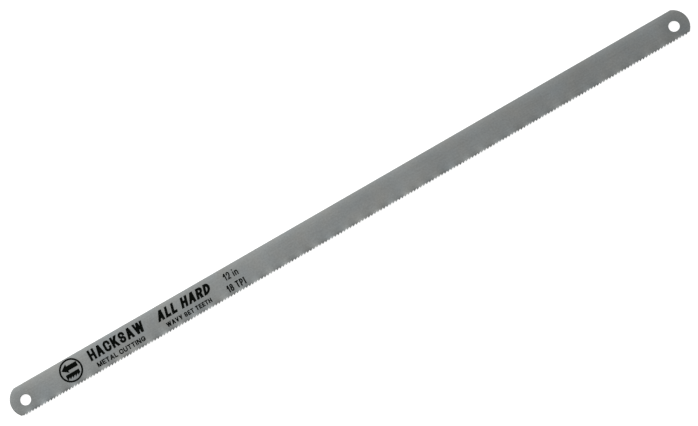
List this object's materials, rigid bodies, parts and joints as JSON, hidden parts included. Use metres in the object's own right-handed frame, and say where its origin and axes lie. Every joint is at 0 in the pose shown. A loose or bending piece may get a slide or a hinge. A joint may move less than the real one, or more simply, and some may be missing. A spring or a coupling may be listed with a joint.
{
  "type": "hacksaw blade",
  "caption": "Flat hand hacksaw blade: a thin hardened steel strip with a fine, wavy-set toothed edge, rounded ends and a pin hole at each end for mounting in a hacksaw frame.",
  "frame": {"origin": "the middle of the blade's outline, on the surface that it lies flat on, which the lowest tips of the wavy-set teeth touch", "axes": "+X along the blade, with the teeth pointing towards -X, the printed end; +Y across the blade towards the back edge; +Z through the thickness, up out of the printed face"},
  "size_m": [0.3128, 0.012, 0.001],
  "materials": {
    "blade_steel": "matt mid grey, blasted and hardened high-speed steel",
    "marking_ink": "thin black printed ink on the upper face"
  },
  "bodies": {
    "root": {"front_eye": "blade_steel", "toothed_length": "blade_steel", "rear_eye": "blade_steel"}
  },
  "joints": []
}
